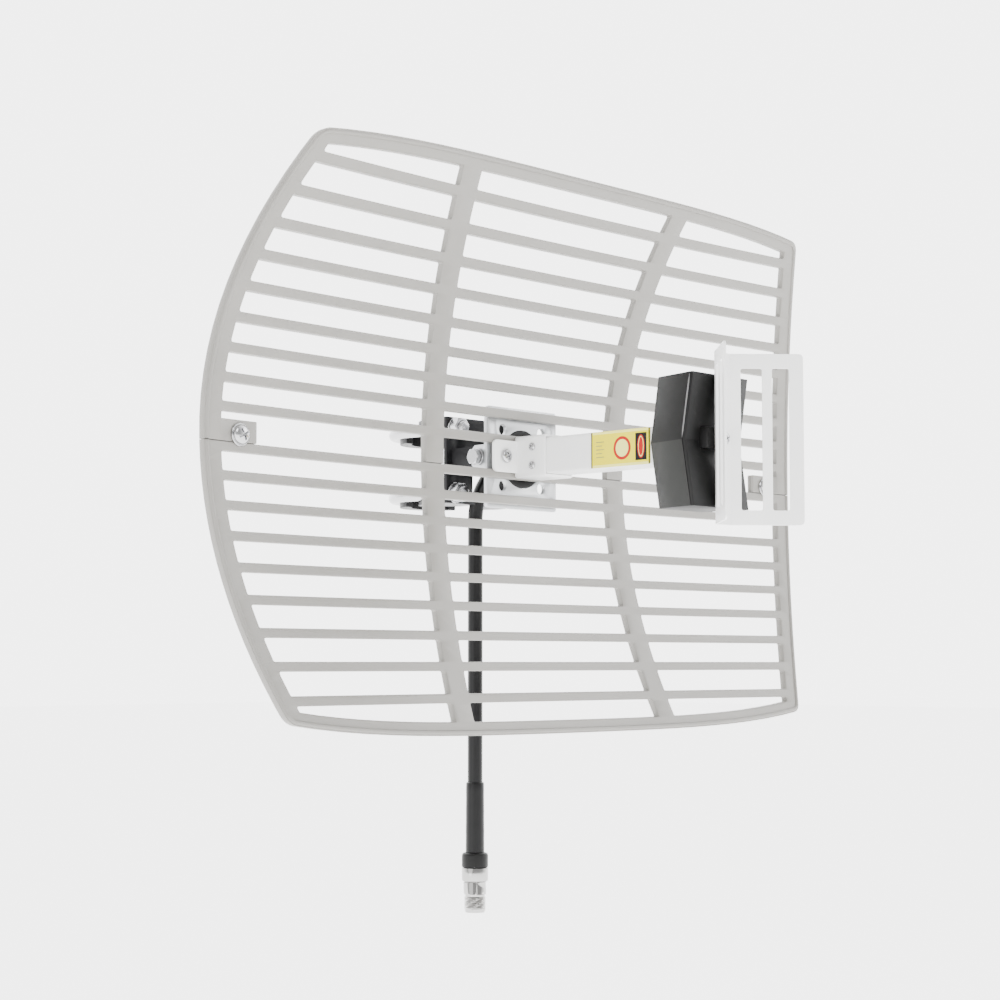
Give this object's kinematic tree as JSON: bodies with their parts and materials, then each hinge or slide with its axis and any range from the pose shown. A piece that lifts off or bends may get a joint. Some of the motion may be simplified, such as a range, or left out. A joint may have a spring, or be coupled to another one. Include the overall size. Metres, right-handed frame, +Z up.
{
  "type": "parabolic grid antenna",
  "caption": "Grid parabolic antenna: two cast reflector halves, square feed arm with boxed dipole and sub-reflector, tilting hub, V-jaw mast clamp and a coax lead with its jack.",
  "frame": {"origin": "on the mast's axis, level with the middle of the mast clamp and with the dish's centre", "axes": "+Z up along the mast; the antenna looks along -Y; +X is across the dish, to its left as it looks out"},
  "size_m": [0.5998, 0.3387, 0.517],
  "materials": {
    "grid_paint": "satin warm grey powder coat on cast aluminium",
    "white_paint": "satin white powder coat",
    "zinc_plate": "bright zinc plated sheet",
    "dark_steel": "dark coated steel",
    "bright_steel": "stainless fasteners",
    "black_plastic": "matte moulded plastic",
    "cable_jacket": "smooth extruded jacket",
    "nickel": "nickel plated brass",
    "label_film": "yellow polyester film",
    "circuit_board": "green solder mask",
    "brass": "plain brass",
    "insulator": "white fluoroplastic"
  },
  "bodies": {
    "bracket": {"cable_collar": "black_plastic", "cable_sleeve": "cable_jacket", "centre_contact": "brass", "clamp_nut": "nickel", "coax_cable": "cable_jacket", "connector_body": "nickel", "connector_insulator": "insulator", "lower_clamp_nut_left": "bright_steel", "lower_clamp_nut_right": "bright_steel", "lower_clamp_washer_left": "bright_steel", "lower_clamp_washer_right": "bright_steel", "mast_bracket": "dark_steel", "pivot_bolt_left": "bright_steel", "pivot_bolt_right": "bright_steel", "pivot_nut_left": "bright_steel", "pivot_nut_right": "bright_steel", "pivot_washer_left": "bright_steel", "pivot_washer_right": "bright_steel", "upper_clamp_nut_left": "bright_steel", "upper_clamp_nut_right": "bright_steel", "upper_clamp_washer_left": "bright_steel", "upper_clamp_washer_right": "bright_steel"},
    "head": {"arm_label": "label_film", "arm_screw_lower": "bright_steel", "arm_screw_upper": "bright_steel", "board_mount": "black_plastic", "cable_gland": "black_plastic", "dipole_board": "circuit_board", "dipole_lower": "brass", "dipole_upper": "brass", "feed_arm": "white_paint", "feed_coax": "cable_jacket", "feed_socket": "white_paint", "housing_front": "black_plastic", "housing_rear": "black_plastic", "hub_plate": "zinc_plate", "reflector_lower": "grid_paint", "reflector_upper": "grid_paint", "rim_nut_left": "bright_steel", "rim_nut_right": "bright_steel", "rim_screw_left": "bright_steel", "rim_screw_right": "bright_steel", "socket_screw_left": "bright_steel", "socket_screw_right": "bright_steel", "subreflector": "white_paint", "subreflector_screw": "bright_steel", "subreflector_spacer": "bright_steel"},
    "upper_clamp": {"upper_ubolt": "bright_steel", "upper_saddle": "dark_steel"},
    "lower_clamp": {"lower_ubolt": "bright_steel", "lower_saddle": "dark_steel"}
  },
  "joints": [
    {"name": "tilt", "type": "hinge", "parent": "bracket", "child": "head", "pos_m": [0, -0.073, 0], "axis": [1, 0, 0], "range_deg": [-20, 20], "deforming": ["coax_cable"]},
    {"name": "upper_ubolt_slide", "type": "slide", "parent": "bracket", "child": "upper_clamp", "axis": [0, -1, 0], "range_m": [-0.004, 0.007]},
    {"name": "lower_ubolt_slide", "type": "slide", "parent": "bracket", "child": "lower_clamp", "axis": [0, -1, 0], "range_m": [-0.004, 0.007]}
  ]
}
